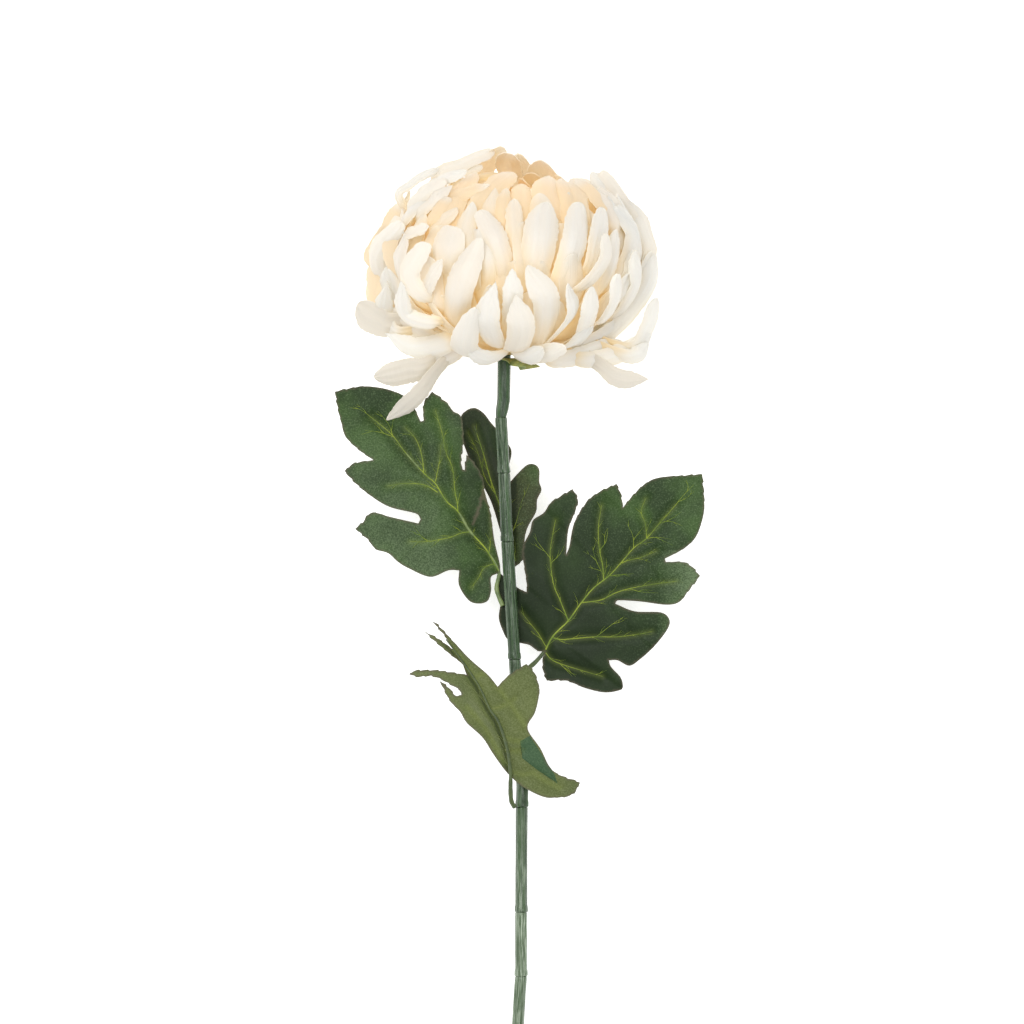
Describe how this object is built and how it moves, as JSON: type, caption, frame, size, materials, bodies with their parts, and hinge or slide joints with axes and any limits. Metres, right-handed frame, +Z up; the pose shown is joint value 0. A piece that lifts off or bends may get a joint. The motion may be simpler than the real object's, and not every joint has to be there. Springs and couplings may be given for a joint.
{
  "type": "chrysanthemum stem",
  "caption": "Cut stem of a cream incurved chrysanthemum in cloth and plastic, with lobed dark green leaves, lying on its side.",
  "frame": {"origin": "middle of the box's footprint, on the surface that the stem lies on", "axes": "+Y runs along the stem towards the bloom, +X to the flower's right as its front is looked at with the bloom at the top, +Z up, out of the flower's front"},
  "size_m": [0.1724, 0.4466, 0.1222],
  "materials": {
    "petal_cloth": "cream satin weave, white at the tips and golden towards the roots",
    "leaf_cloth": "dark green weave with printed yellow-green veins, pale olive on the back",
    "stem_plastic": "moulded dark green with lengthwise grooves",
    "rib_plastic": "moulded pale green",
    "wire_steel": "drawn steel wire"
  },
  "bodies": {
    "root": {"bloom": "petal_cloth", "calyx": "rib_plastic", "stem_wire": "wire_steel", "stem_sleeve_1": "stem_plastic", "stem_sleeve_2": "stem_plastic", "stem_sleeve_3": "stem_plastic", "stem_sleeve_4": "stem_plastic", "stem_sleeve_5": "stem_plastic", "stem_sleeve_6": "stem_plastic", "stem_sleeve_7": "stem_plastic", "stem_sleeve_8": "stem_plastic", "leaf_left": "leaf_cloth", "leaf_right": "leaf_cloth", "leaf_back": "leaf_cloth", "leaf_lower": "leaf_cloth", "rib_left": "rib_plastic", "rib_right": "rib_plastic", "rib_back": "rib_plastic", "rib_lower": "rib_plastic"}
  },
  "joints": []
}
